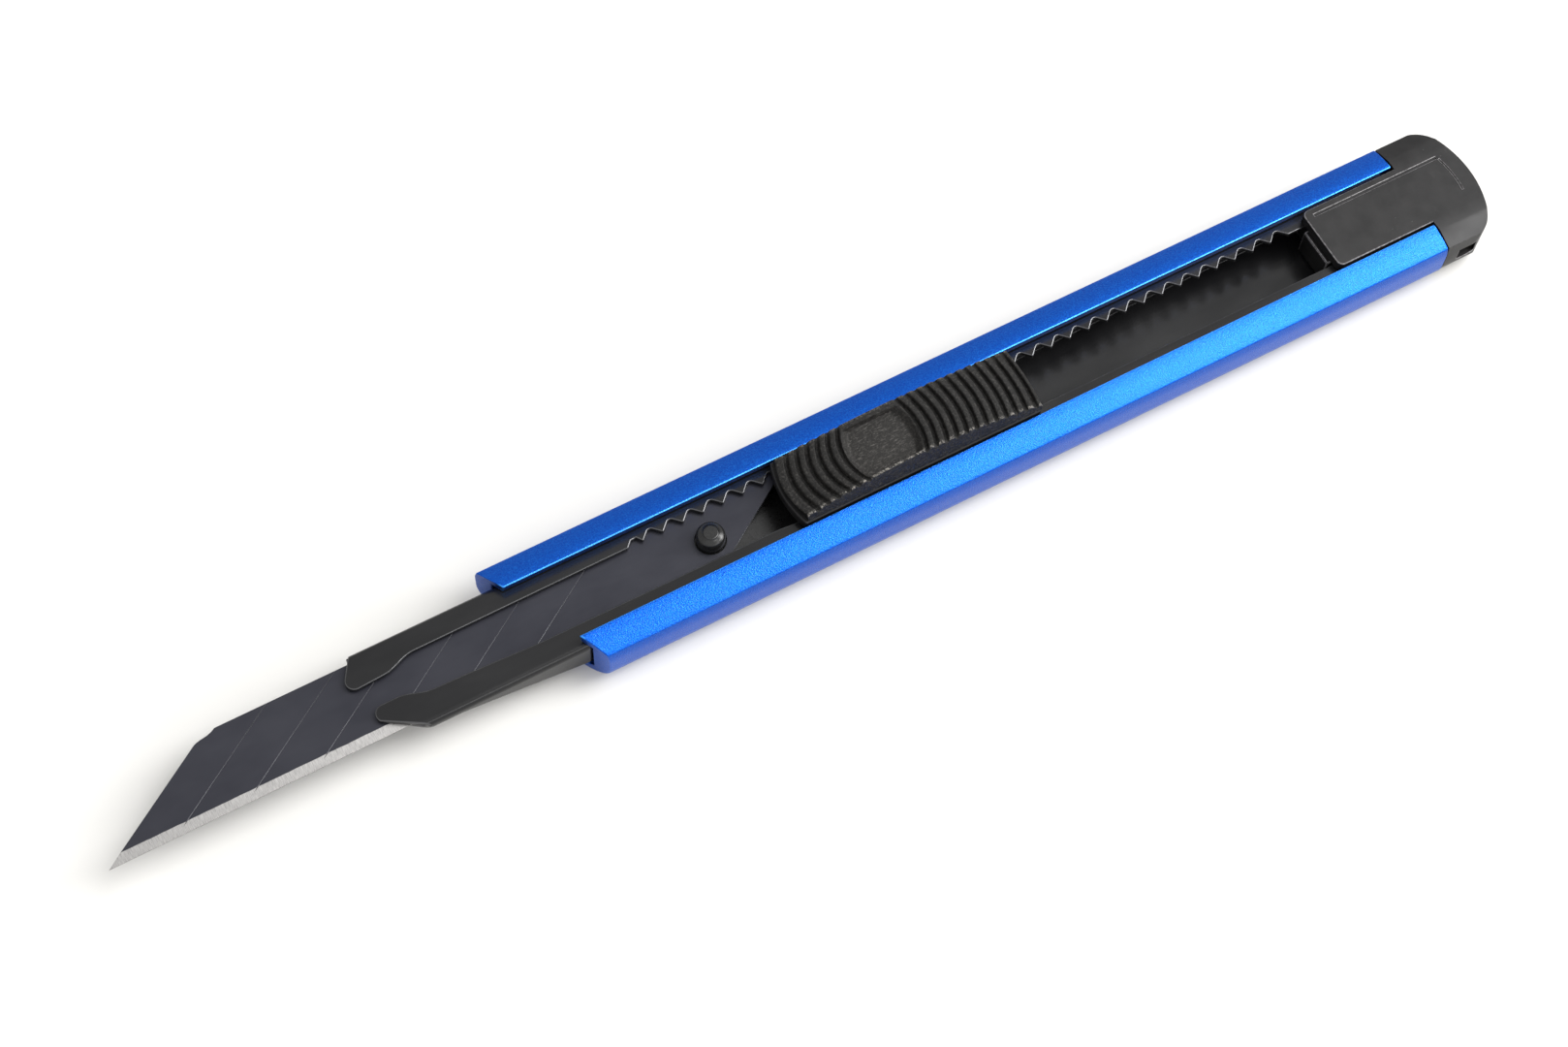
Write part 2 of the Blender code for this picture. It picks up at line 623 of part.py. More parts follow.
def make_grip(material, collection, parent):
    obj = prism("grip", grip_section(), "X", SLIDER_FRONT_X - 1, SLIDER_BACK_X + 1)
    half = (SLIDER_BACK_X - SLIDER_FRONT_X) / 2 + 2
    side = [(GRIP_MID_X + half * i / 12, crown_height(GRIP_MID_X + half * i / 12)) for i in range(-12, 13)]
    side += [(GRIP_MID_X + half, GRIP_BOTTOM - 1), (GRIP_MID_X - half, GRIP_BOTTOM - 1)]
    combine(obj, prism("crown", side, "Y", -9, 9), "INTERSECT")
    front = bowed_end(SLIDER_FRONT_X + 1.25, GRIP_BASE_HALF, 0.95, 12, -1)
    back = bowed_end(SLIDER_BACK_X - 0.32, GRIP_BASE_HALF, 0.32, 12, 1)
    ends = [(x, y * 1.4) for x, y in front] + [(x, y * 1.4) for x, y in reversed(back)]
    combine(obj, prism("ends", ends, "Z", 0, 20), "INTERSECT")
    round_edges(obj, 0.14, 1, lambda edge: edge_is_sharp(edge, 40))
    for i in range(FRONT_GROOVES):
        bow = 0.85 + 0.05 * i
        cut(obj, groove(SLIDER_FRONT_X + 1.35 + RIB_PITCH * i, bow, -1))
    for i in range(REAR_GROOVES):
        bow = 0.75 - 0.04 * i
        cut(obj, groove(SLIDER_BACK_X - 0.85 - RIB_PITCH * (REAR_GROOVES - 1 - i), bow, 1))
    cut(obj, recess())
    add_grip_posts(obj)
    cut(obj, cam_slot())
    return finish(obj, "slider_grip", material, collection, (GRIP_MID_X, 0, GRIP_BOTTOM), parent, 35)


def recess():
    """Thumb recess, straight on the notched side, bowed at both ends."""
    outline = [(3.5, 2.75), (9.1, 2.75), (10.1, 2.35)]
    outline += [(10.45, 1.2), (10.6, -0.3), (10.4, -1.9), (9.9, -3.3), (9.3, -3.45), (2.8, -3.45)]
    outline += [(2.35, -2.2), (2.15, -0.6), (2.25, 0.8), (2.7, 2.0)]
    return prism("recess", outline, "Z", RECESS_FLOOR, GRIP_MID_TOP + 1)


def add_grip_posts(obj):
    for x in POST_X:
        add(obj, box("post", x - POST_LENGTH / 2, x + POST_LENGTH / 2, -POST_WIDTH / 2, POST_WIDTH / 2,
                     4.4, GRIP_BOTTOM + 0.4))


def cam_slot():
    """Diagonal slot in the underside that moves the pawl pin sideways."""
    length = LOST_MOTION * math.sqrt(2)
    half = PIN_R + 0.08
    outline = arc(0, 0, half, 90, 270, 8) + arc(length, 0, half, -90, 90, 8)
    tool = prism("cam", outline, "Z", GRIP_BOTTOM - 1, PIN_TOP + 0.2)
    turn = Matrix.Rotation(math.radians(-45), 4, "Z")
    tool.data.transform(Matrix.Translation((pawl_x(), PIN_Y, 0)) @ turn)
    return tool


def make_pawl(material, collection, parent):
    px = pawl_x()
    nose_y = PAWL_NOSE_Y - PAWL_NOSE_R
    outline = [(px + PAWL_HALF, PAWL_BACK_Y), (px + PAWL_HALF, 1.2), (px + PAWL_NOSE_R, 2.1)]
    outline += arc(px, nose_y, PAWL_NOSE_R, 0, 180, 12)
    outline += [(px - PAWL_NOSE_R, 2.1), (px - PAWL_HALF, 1.2), (px - PAWL_HALF, PAWL_BACK_Y)]
    obj = prism("pawl", outline, "Z", PAWL_BOTTOM, PAWL_TOP)
    add(obj, cylinder("pin", px, PIN_Y, PAWL_TOP - 0.2, PIN_TOP, PIN_R, 32))
    return finish(obj, "lock_pawl", material, collection, (px, PIN_Y, PAWL_BOTTOM), parent)


def make_pawl_spring(material, collection, parent):
    """Bowed leaf between the pocket wall and the back of the pawl."""
    px = pawl_x()
    half = POCKET_HALF - 0.25
    thick = 0.14
    back = POCKET_BACK_Y + 0.08
    bow = PAWL_BACK_Y - back - thick - 0.06
    steps = 14
    outer = []
    inner = []
    for i in range(steps + 1):
        x = -half + 2 * half * i / steps
        y = back + bow * math.cos(math.pi / 2 * x / half) ** 1.2
        outer.append((px + x, y))
        inner.append((px + x, y + thick))
    outline = outer + list(reversed(inner))
    obj = prism("leaf", outline, "Z", PAWL_BOTTOM + 0.02, PAWL_TOP - 0.02)
    return finish(obj, "pawl_spring", material, collection, (px, back, PAWL_BOTTOM), parent)


def cap_section():
    half = [(CAP_CREST_HALF, BODY_TOP), (RIDGE_HALF - 0.05, RIDGE_Z - 0.05), (CAP_HALF, SIDE_Z)]
    half += arc(CAP_HALF - CORNER_R, CORNER_R, CORNER_R, 0, -90, 8)
    return list(reversed(half)) + [(-u, v) for u, v in half]


def cap_plan():
    """Plan outline of the cap: a gently curved tail whose corners run into straight sides."""
    front = TAIL_X + CAP_GAP
    side = CAP_HALF + 0.4
    reach = CAP_TAIL_R - CAP_CORNER_R
    turn = math.degrees(math.asin((CAP_HALF - 0.05 - CAP_CORNER_R) / reach))
    middle = CAP_BACK_X - CAP_TAIL_R
    corner_x = middle + reach * math.cos(math.radians(turn))
    corner_y = reach * math.sin(math.radians(turn))
    tail = [(front, -side), (corner_x - 0.6, -side)]
    tail += arc(corner_x, -corner_y, CAP_CORNER_R, -90, -turn, 7)[:-1]
    tail += arc(middle, 0, CAP_TAIL_R, -turn, turn, 14)
    tail += arc(corner_x, corner_y, CAP_CORNER_R, turn, 90, 7)[1:]
    return tail + [(corner_x - 0.6, side), (front, side)]


def make_cap(material, collection):
    front = TAIL_X + CAP_GAP
    obj = prism("cap", cap_section(), "X", front, CAP_BACK_X + 2)
    combine(obj, prism("plan", cap_plan(), "Z", -1, 10), "INTERSECT")
    round_edges(obj, 0.35, 3, lambda edge: edge_is_sharp(edge, 40) and edge_is_tail(edge))
    tongue = prism("tongue", tongue_plan(front + 0.5), "Z", PLATE_BOTTOM, BODY_TOP)
    round_edges(tongue, 0.16, 2, lambda edge: edge_is_sharp(edge, 50) and edge_is_high(edge, BODY_TOP))
    neck = box("neck", PLUG_WIDE_X, front + 0.5, -PLUG_NECK_HALF, PLUG_NECK_HALF, PLUG_TOP - 0.4,
               PLATE_BOTTOM + 0.4)
    nose = box("nose", PLUG_FRONT_X, PLUG_WIDE_X + 0.5, -PLUG_NECK_HALF, PLUG_NECK_HALF,
               PLUG_BOTTOM + 0.1, PLUG_LEDGE)
    round_edges(nose, 0.12, 1, lambda edge: edge_is_sharp(edge, 50))
    plug = box("plug", PLUG_WIDE_X, front + 0.5, -PLUG_HALF, PLUG_HALF, PLUG_BOTTOM, PLUG_TOP)
    round_edges(plug, 0.25, 2, lambda edge: edge_is_sharp(edge, 50))
    add(obj, tongue, neck, plug, nose)
    cut(obj, box("line", LINE_FRONT_X, LINE_BACK_X, LINE_NEAR, LINE_FAR, BODY_TOP - LINE_DEPTH,
                 BODY_TOP + 1))
    cut(obj, tail_line())
    cut(obj, cord_slot())
    return finish(obj, "end_cap", material, collection, (front, 0, CORNER_R))


def edge_is_tail(edge):
    return min(vert.co.x for vert in edge.verts) > TAIL_X + 1.0 or all(
        abs(vert.co.y) > 5 for vert in edge.verts)


def edge_is_high(edge, z):
    return all(abs(vert.co.z - z) < 1e-3 for vert in edge.verts)


def tongue_plan(back):
    """Plan outline of the tongue, with rounded front corners."""
    r = TONGUE_CORNER_R
    x = TONGUE_FRONT_X + r
    y = TONGUE_HALF - r
    corners = arc(x, y, r, 90, 180, 6) + arc(x, -y, r, 180, 270, 6)
    return [(back, TONGUE_HALF)] + corners + [(back, -TONGUE_HALF)]


def tail_line():
    """Thin curved groove across the tail of the cap's top face."""
    radius = CAP_TAIL_R
    middle = TAIL_LINE_X - radius
    outer = arc(middle, 0, radius, -8.5, 12.0, 10)
    inner = arc(middle, 0, radius - TAIL_LINE_WIDTH, 12.0, -8.5, 10)
    return prism("tail_line", outer + inner, "Z", BODY_TOP - LINE_DEPTH + 0.04, BODY_TOP + 1)


def cord_slot():
    """Cord slot that runs from the side face round the corner to the tail face."""
    half = CORD_SLOT_WIDTH / 2
    reach = 9.0
    tool = box("cord", -reach, reach, -half, half, CORD_SLOT_LOW, CORD_SLOT_HIGH)
    turn = Matrix.Rotation(CORD_SLOT_ANGLE, 4, "Z")
    tool.data.transform(Matrix.Translation((CORD_SLOT_X, -CAP_HALF, 0)) @ turn)
    return tool


def build():
    clear_scene()
    collection = bpy.data.collections.new("utility_knife")
    bpy.context.scene.collection.children.link(collection)
    aluminium = make_material("anodised_aluminium", (0.01, 0.09, 0.62), 0.34, 0.9)
    steel_black = make_material("black_steel", (0.018, 0.018, 0.019), 0.42, 0.3)
    blade_steel = make_material("blade_steel", (0.045, 0.046, 0.055), 0.3, 0.7)
    stud_steel = make_material("stud_steel", (0.02, 0.02, 0.021), 0.3, 0.4)
    strip_steel = make_material("strip_steel", (0.03, 0.03, 0.031), 0.4, 0.6)
    rivet_steel = make_material("rivet_steel", (0.35, 0.35, 0.36), 0.35, 1.0)
    base_plastic = make_material("base_plastic", (0.016, 0.016, 0.016), 0.5, 0.0)
    grip_plastic = make_material("grip_plastic", (0.028, 0.026, 0.024), 0.62, 0.0)
    pawl_steel = make_material("pawl_steel", (0.3, 0.3, 0.31), 0.35, 1.0)
    spring_steel = make_material("spring_steel", (0.45, 0.45, 0.46), 0.25, 1.0)
    cap_plastic = make_material("cap_plastic", (0.024, 0.023, 0.024), 0.5, 0.0)

    make_body(aluminium, collection)
    make_channel(steel_black, collection)
    make_cap(cap_plastic, collection)
    carrier = make_carrier(strip_steel, collection, None)
    make_stud(stud_steel, collection, carrier)
    make_blade(blade_steel, collection, carrier)
    base = make_slider_base(base_plastic, collection, carrier)
    for name, x in zip(("carrier_rivet_front", "carrier_rivet_rear"), RIVET_X):
        make_rivet(name, x, rivet_steel, collection, carrier)
    make_grip(grip_plastic, collection, base)
    make_pawl(pawl_steel, collection, base)
    make_pawl_spring(spring_steel, collection, base)


build()
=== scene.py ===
"""Visual model of the slim snap-off utility knife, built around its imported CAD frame."""
import json
import math

import bmesh
import bpy
from mathutils import Matrix, Vector

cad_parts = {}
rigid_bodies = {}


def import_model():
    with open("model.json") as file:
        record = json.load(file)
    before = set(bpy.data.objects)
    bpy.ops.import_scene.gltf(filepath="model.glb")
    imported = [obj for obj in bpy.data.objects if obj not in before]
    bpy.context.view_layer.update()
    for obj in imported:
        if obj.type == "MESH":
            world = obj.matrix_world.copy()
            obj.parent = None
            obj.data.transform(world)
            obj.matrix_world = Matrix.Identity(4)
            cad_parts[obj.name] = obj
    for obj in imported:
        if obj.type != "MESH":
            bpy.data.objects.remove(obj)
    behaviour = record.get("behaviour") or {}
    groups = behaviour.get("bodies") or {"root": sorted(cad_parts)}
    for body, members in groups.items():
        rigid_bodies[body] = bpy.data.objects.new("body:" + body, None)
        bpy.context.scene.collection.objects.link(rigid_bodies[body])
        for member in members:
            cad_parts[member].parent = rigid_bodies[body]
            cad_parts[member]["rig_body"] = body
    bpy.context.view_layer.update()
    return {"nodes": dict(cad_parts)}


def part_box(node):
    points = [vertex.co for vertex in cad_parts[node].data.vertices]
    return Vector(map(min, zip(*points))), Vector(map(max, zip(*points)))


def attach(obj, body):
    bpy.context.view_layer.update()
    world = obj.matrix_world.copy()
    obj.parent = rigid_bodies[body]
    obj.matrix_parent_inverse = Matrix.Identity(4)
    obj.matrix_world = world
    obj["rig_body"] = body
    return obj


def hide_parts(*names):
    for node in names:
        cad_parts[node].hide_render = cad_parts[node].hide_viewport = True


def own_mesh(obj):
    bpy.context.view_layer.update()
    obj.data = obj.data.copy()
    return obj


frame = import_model()

MM = 0.001

# Camera: where it stands, which way it looks and its lens
CAMERA_PLACE = (-0.074317, -0.109408, 0.266891)
CAMERA_AZIMUTH = -32.437
CAMERA_ELEVATION = 64.081
CAMERA_ROLL = -4.123
CAMERA_LENS = 62.76
SENSOR = 36.0

# Grip, in millimetres; places along X count from the middle of the grip
GRIP_UNDERSIDE = 7.4       # height of the grip's body above the floor; the posts go on down from it
RIB_PITCH = 1.2
FIRST_GROOVE = -13.75
LAST_GROOVE = 14.25
FRONT_GROOVES = 6
REAR_GROOVES = 12
GROOVE_DEPTH = 0.48
GROOVE_FLOOR = 0.13        # half width of the flat bottom
GROOVE_MOUTH = 0.33        # half width at the top
CROWN_RISE = 1.85
RECESS_DEPTH = 0.8
SIDE_LEAN = 0.45           # how far each side leans in over the full height
TOP_ROUND = 0.2
BOW_HALF_WIDTH = 3.55      # where across the grip a rib has bent back by the amount in RIB_BOW
RIB_BOW = ((-14.8, 0.75), (-13.75, 0.85), (-7.75, 1.10),
           (1.05, -0.75), (14.25, -0.31), (15.1, -0.25))
CREST_ROUNDING = 0.12      # how much lower a rib's edges are than its middle
RECESS_FRONT = -7.75
RECESS_REAR = 0.85
RECESS_FAR = 2.8
RECESS_NEAR = -3.32
POST_PLACES = (-9.2, 8.8)
POST_LENGTH = 3.0
POST_WIDTH = 1.8
POST_OVERLAP = 0.2         # how far a post goes into the grip's body

# Mesh density of the grip
POINTS_ACROSS = 72
SIDE_ROWS = 9
ROUND_STEPS = 4
COLUMN_OFFSETS = (0.0, 0.05, 0.1, 0.14, 0.18, 0.22, 0.26, 0.30, 0.36, 0.44, 0.52, 0.6)
PLAIN_STEP = 0.1           # between columns where there is no groove
CLOSEST_COLUMNS = 0.015

# Edge marks: wear, with painted highlight on the body's slot lips and the near side's rib ends, and
# painted shade in the blade's snap lines
THIN_RIM = 0.4             # mark on narrow faces, against 1 for rounded edges
FAR_WEAR_AND_SHADE = 0.45            # marks on the grip's rib ends on the far side, against 1 on the near side: the marks are wear, and the near side's lighter ends are painted highlight for light falling from that side
LIP_HIGHLIGHT = (4.6, 5.0)      # from the middle, where the painted highlight on the body's slot-lip edges starts and ends fading

GRIND_WIDTH = 1.1          # bare ground strip along the blade's cutting edge

FLOOR_HALF = 3.0           # metres
LIGHT_DISTANCE = 0.9       # metres, from the middle of the knife

# Refining CAD meshes
MERGE_DISTANCE = 2e-7      # metres
FLAT_WITHIN = 0.4          # degrees


# ---------------------------------------------------------------- mesh helpers

def new_piece(name, bm, smooth=32.0):
    mesh = bpy.data.meshes.new(name)
    bmesh.ops.recalc_face_normals(bm, faces=bm.faces)
    bm.to_mesh(mesh)
    bm.free()
    for polygon in mesh.polygons:
        polygon.use_smooth = True
    mesh.set_sharp_from_angle(angle=math.radians(smooth))
    piece = bpy.data.objects.new(name, mesh)
    bpy.context.scene.collection.objects.link(piece)
    return piece


def body_of(node):
    return frame["nodes"][node]["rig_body"]


def stand_for(piece, node, material):
    """The piece takes a CAD node's place, with its motion and a finished material."""
    piece.data.materials.clear()
    piece.data.materials.append(material)
    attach(piece, body_of(node))
    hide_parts(node)


def refined(node, material, rounding=0.0, sharper_than=38.0, segments=2, smooth=32.0, thin=0.0):
    """Fine copy of a CAD node: flat faces merged, edges rounded, curves shaded smooth.

    The rounded outer edges are marked 1 in the attribute "rim", and faces narrower than thin
    millimetres are marked THIN_RIM, so that a material can mark them: with wear, with painted
    highlight on the body's slot lips, and with painted shade in the blade's snap lines.
    """
    bm = bmesh.new()
    bm.from_mesh(frame["nodes"][node].data)
    bmesh.ops.remove_doubles(bm, verts=bm.verts, dist=MERGE_DISTANCE)
    bmesh.ops.dissolve_limit(bm, angle_limit=math.radians(FLAT_WITHIN),
                             verts=bm.verts, edges=bm.edges)
    bmesh.ops.recalc_face_normals(bm, faces=bm.faces)
    for face in bm.faces:
        face.material_index = 2 if 2.0 * face.calc_area() < thin * MM * face.calc_perimeter() else 0
    if rounding:
        limit = math.radians(sharper_than)
        edges = [e for e in bm.edges if e.is_convex and e.calc_face_angle(0) > limit]
        bmesh.ops.bevel(bm, geom=edges, offset=rounding * MM, segments=segments, profile=0.5,
                        affect="EDGES", clamp_overlap=False, material=1)
    piece = new_piece(node + "_fine", bm, smooth)
    rim = piece.data.attributes.new("rim", "FLOAT", "FACE")
    for polygon in piece.data.polygons:
        rim.data[polygon.index].value = (0.0, 1.0, THIN_RIM)[polygon.material_index]
        polygon.material_index = 0
    normals = piece.modifiers.new("flat_faces", "WEIGHTED_NORMAL")
    normals.keep_sharp = True
    stand_for(piece, node, material)
    return piece


def smoothstep(low, high, value):
    t = min(1.0, max(0.0, (value - low) / (high - low)))
    return t * t * (3.0 - 2.0 * t)


# ---------------------------------------------------------------- material helpers

class Look:
    """A Principled material and short calls that add texture nodes to it."""

    def __init__(self, name, colour, roughness, metallic=0.0, specular=0.5):
        self.material = bpy.data.materials.new(name)
        self.material.use_nodes = True
        self.tree = self.material.node_tree
        self.shader = self.tree.nodes["Principled BSDF"]
        self.shader.inputs["Base Color"].default_value = (*colour, 1.0)
        self.shader.inputs["Roughness"].default_value = roughness
        self.shader.inputs["Metallic"].default_value = metallic
        self.shader.inputs["Specular IOR Level"].default_value = specular
        self.place = self.node("ShaderNodeTexCoord").outputs["Object"]

    def node(self, kind, settings=None, **inputs):
        made = self.tree.nodes.new(kind)
        for key, value in (settings or {}).items():
            setattr(made, key, value)
        for key, value in inputs.items():
            self.put(made.inputs[key.replace("_", " ")], value)
        return made

    def put(self, socket, value):
        if isinstance(value, bpy.types.NodeSocket):
            self.tree.links.new(value, socket)
        else:
            socket.default_value = value

    def scaled(self, x=1.0, y=1.0, z=1.0):
        """Object coordinates in millimetres, stretched along an axis by a factor below 1."""
        return self.node("ShaderNodeMapping", Vector=self.place,
                         Scale=(x / MM, y / MM, z / MM)).outputs["Vector"]

    def noise(self, size, stretch=(1.0, 1.0, 1.0), detail=3.0, rough=0.55):
        """Noise whose lumps are about size millimetres across."""
        return self.node("ShaderNodeTexNoise", Vector=self.scaled(*stretch), Scale=1.0 / size,
                         Detail=detail, Roughness=rough).outputs["Fac"]

    def cells(self, scale, output, stretch=(1.0, 1.0, 1.0)):
        return self.node("ShaderNodeTexVoronoi", Vector=self.scaled(*stretch),
                         Scale=scale).outputs[output]

    def spread(self, value, low, high, to_low=0.0, to_high=1.0):
        """Value carried from low..high over to to_low..to_high, and held at the ends."""
        return self.node("ShaderNodeMapRange", Value=value, From_Min=low, From_Max=high,
                         To_Min=to_low, To_Max=to_high).outputs["Result"]

    def math(self, operation, a, b):
        made = self.node("ShaderNodeMath", {"operation": operation})
        self.put(made.inputs[0], a)
        self.put(made.inputs[1], b)
        return made.outputs["Value"]

    def blend(self, factor, a, b):
        made = self.node("ShaderNodeMix", {"data_type": "RGBA"})
        self.put(made.inputs[0], factor)
        self.put(made.inputs[6], (*a, 1.0) if isinstance(a, tuple) else a)
        self.put(made.inputs[7], (*b, 1.0) if isinstance(b, tuple) else b)
        return made.outputs[2]

    def axis(self, letter):
        return self.node("ShaderNodeSeparateXYZ", Vector=self.scaled()).outputs[letter]

    def attribute(self, name):
        return self.node("ShaderNodeAttribute", {"attribute_name": name}).outputs["Fac"]

    def colour(self, value):
        self.put(self.shader.inputs["Base Color"], value)

    def roughness(self, value):
        self.put(self.shader.inputs["Roughness"], value)

    def metallic(self, value):
        self.put(self.shader.inputs["Metallic"], value)

    def bump(self, *layers):
        """Layers are (height, depth in millimetres, strength)."""
        normal = None
        for height, depth, strength in layers:
            made = self.node("ShaderNodeBump", Height=height, Distance=depth * MM,
                             Strength=strength)
            if normal is not None:
                self.put(made.inputs["Normal"], normal)
            normal = made.outputs["Normal"]
        self.put(self.shader.inputs["Normal"], normal)


# ---------------------------------------------------------------- materials

def anodised_aluminium():
    look = Look("anodised_aluminium_fine", (0.004, 0.09, 0.53), 0.34, 1.0)
    look.shader.inputs["Coat Weight"].default_value = 0.17
    look.shader.inputs["Coat Roughness"].default_value = 0.12
    grain = look.noise(0.16, detail=2.0, rough=0.7)
    glint = look.node("ShaderNodeSeparateColor", Color=look.cells(8.5, "Color")).outputs["Red"]
    clouds = look.noise(6.0, (0.4, 1.0, 1.0), 2.0)
    draw = look.noise(0.5, (0.02, 1.0, 1.0), 2.0)
    deep = look.blend(look.spread(grain, 0.3, 0.7), (0.002, 0.054, 0.40), (0.006, 0.116, 0.54))
    deep = look.blend(look.spread(glint, 0.75, 1.0, 0.0, 0.4), deep, (0.014, 0.17, 0.66))
    deep = look.blend(look.spread(clouds, 0.3, 0.7, 0.0, 0.25), deep, (0.003, 0.075, 0.46))
    # Painted highlight: the narrow edge faces along both slot lips are coloured a paler blue.
    lip_highlight = look.spread(look.math("ABSOLUTE", look.axis("Y"), 0.0), *LIP_HIGHLIGHT, 1.0 / THIN_RIM, 0.0)
    wear_and_highlight = look.math("MULTIPLY", look.attribute("rim"), lip_highlight)
    look.colour(look.blend(wear_and_highlight, deep, (0.05, 0.30, 0.86)))
    texture = look.math("ADD", grain, look.math("MULTIPLY", draw, 0.4))
    look.roughness(look.spread(texture, 0.4, 1.0, 0.29, 0.43))
    look.bump((grain, 0.042, 1.0), (draw, 0.004, 0.3))
    look.put(look.shader.inputs["Coat Normal"], look.shader.inputs["Normal"].links[0].from_socket)
    return look.material


def blackened_sheet():
    """Blackened sheet steel; the cut edges are burnished, so they gleam."""
    look = Look("black_steel_fine", (0.012, 0.012, 0.0125), 0.4, 0.0, 0.34)
    peel = look.noise(0.35, detail=2.0)
    rub = look.noise(0.25, (0.03, 1.0, 1.0), 3.0)
    patch = look.noise(4.0, (0.3, 1.0, 1.0), 3.0)
    rim = look.attribute("rim")
    uneven = look.spread(look.noise(0.6, detail=2.0), 0.35, 0.5, 0.7, 1.0)
    broken = look.math("MULTIPLY", rim, uneven)
    dark = look.blend(look.spread(patch, 0.35, 0.7), (0.005, 0.005, 0.0055), (0.009, 0.009, 0.0095))
    look.colour(look.blend(broken, dark, (0.09, 0.09, 0.093)))
    look.metallic(look.spread(broken, 0.3, 1.0, 0.0, 0.9))
    texture = look.math("ADD", patch, look.math("MULTIPLY", rub, 0.3))
    rough = look.spread(texture, 0.5, 0.9, 0.18, 0.27)
    look.roughness(look.math("SUBTRACT", rough, look.math("MULTIPLY", broken, 0.08)))
    look.bump((peel, 0.006, 0.3), (rub, 0.003, 0.07))
    return look.material


def blade_steel(edge_y):
    """Blued steel, ground bare along the cutting edge, which is at edge_y millimetres.

    Snap-line faces that reach the ground strip carry the rim mark THIN_RIM, and get painted shade
    there: a dark colour standing for the shade in those shallow grooves.
    """
    look = Look("blade_steel_fine", (0.022, 0.023, 0.030), 0.34, 0.55, 0.4)
    y = look.axis("Y")
    ground_line = edge_y + GRIND_WIDTH
    waver = look.spread(look.noise(1.5, (1.0, 0.1, 0.1), 2.0), 0.3, 0.7, -0.03, 0.03)
    bare = look.spread(look.math("ADD", y, waver), ground_line - 0.03, ground_line + 0.03, 1.0, 0.0)
    cloud = look.noise(5.0, (0.6, 1.0, 1.0), 3.0)
    blued = look.blend(look.spread(cloud, 0.3, 0.7), (0.021, 0.0215, 0.029), (0.030, 0.0305, 0.039))
    strokes = look.noise(0.05, (1.0, 0.04, 0.3), 2.0)
    silver = look.blend(look.spread(strokes, 0.35, 0.65), (0.26, 0.255, 0.25), (0.42, 0.41, 0.40))
    # Painted shade: snap-line faces in the ground strip are coloured dark in place of the shade
    # inside the groove.
    snap_line_painted_shade = look.math("MULTIPLY", look.spread(look.attribute("rim"), 0.2, 0.35),
                       look.spread(look.attribute("rim"), 0.45, 0.6, 1.0, 0.0))
    silver = look.blend(snap_line_painted_shade, silver, (0.02, 0.02, 0.02))
    rim = look.spread(look.attribute("rim"), 0.2, 0.9)
    blued = look.blend(rim, blued, (0.24, 0.24, 0.25))
    look.colour(look.blend(bare, blued, silver))
    look.metallic(look.spread(look.math("MAXIMUM", bare, rim), 0.0, 1.0, 0.5, 1.0))
    rough = look.spread(look.noise(0.2, (0.1, 1.0, 1.0), 3.0), 0.3, 0.7, 0.30, 0.38)
    look.roughness(look.math("ADD", rough, look.math("MULTIPLY", bare, 0.06)))
    look.bump((look.math("MULTIPLY", strokes, bare), 0.004, 0.3), (look.noise(0.12), 0.002, 0.2))
    return look.material


def moulded_plastic(name, shade, rough_low, rough_high, grain_depth, wear):
    """Black plastic with a fine moulded grain, scuffs and rubbed edges; wear is from 0 to 1."""
    look = Look(name, (shade, shade * 0.97, shade), rough_low, 0.0, 0.25)
    grain = look.noise(0.12, detail=3.0)
    mottle = look.noise(2.2, detail=4.0, rough=0.6)
    wisps = look.noise(1.4, (1.0, 0.45, 1.0), 6.0, 0.75)
    dots = look.spread(look.cells(0.9, "Distance", (0.5, 1.0, 1.0)), 0.02, 0.05, 1.0, 0.0)
    dark = (shade * 0.75, shade * 0.72, shade * 0.74)
    light = (shade * 1.35, shade * 1.28, shade * 1.3)
    tone = look.blend(look.spread(mottle, 0.3, 0.7), dark, light)
    pale = (shade * 3.2, shade * 3.0, shade * 3.0)
    tone = look.blend(look.spread(wisps, 0.6, 0.75, 0.0, 0.5), tone, pale)
    tone = look.blend(look.math("MULTIPLY", dots, 0.15), tone, (0.2, 0.2, 0.2))
    uneven = look.spread(look.noise(0.3, detail=4.0, rough=0.7), 0.35, 0.6, 0.45, 1.0)
    rubbed = look.math("MULTIPLY", look.attribute("rim"), uneven)
    rubbed = look.spread(rubbed, 0.25, 1.0, 0.0, wear)
    look.colour(look.blend(rubbed, tone, (0.26, 0.25, 0.255)))
    look.roughness(look.spread(mottle, 0.3, 0.7, rough_low, rough_high))
    look.bump((grain, grain_depth, 0.5), (mottle, 0.015, 0.25))
    return look.material


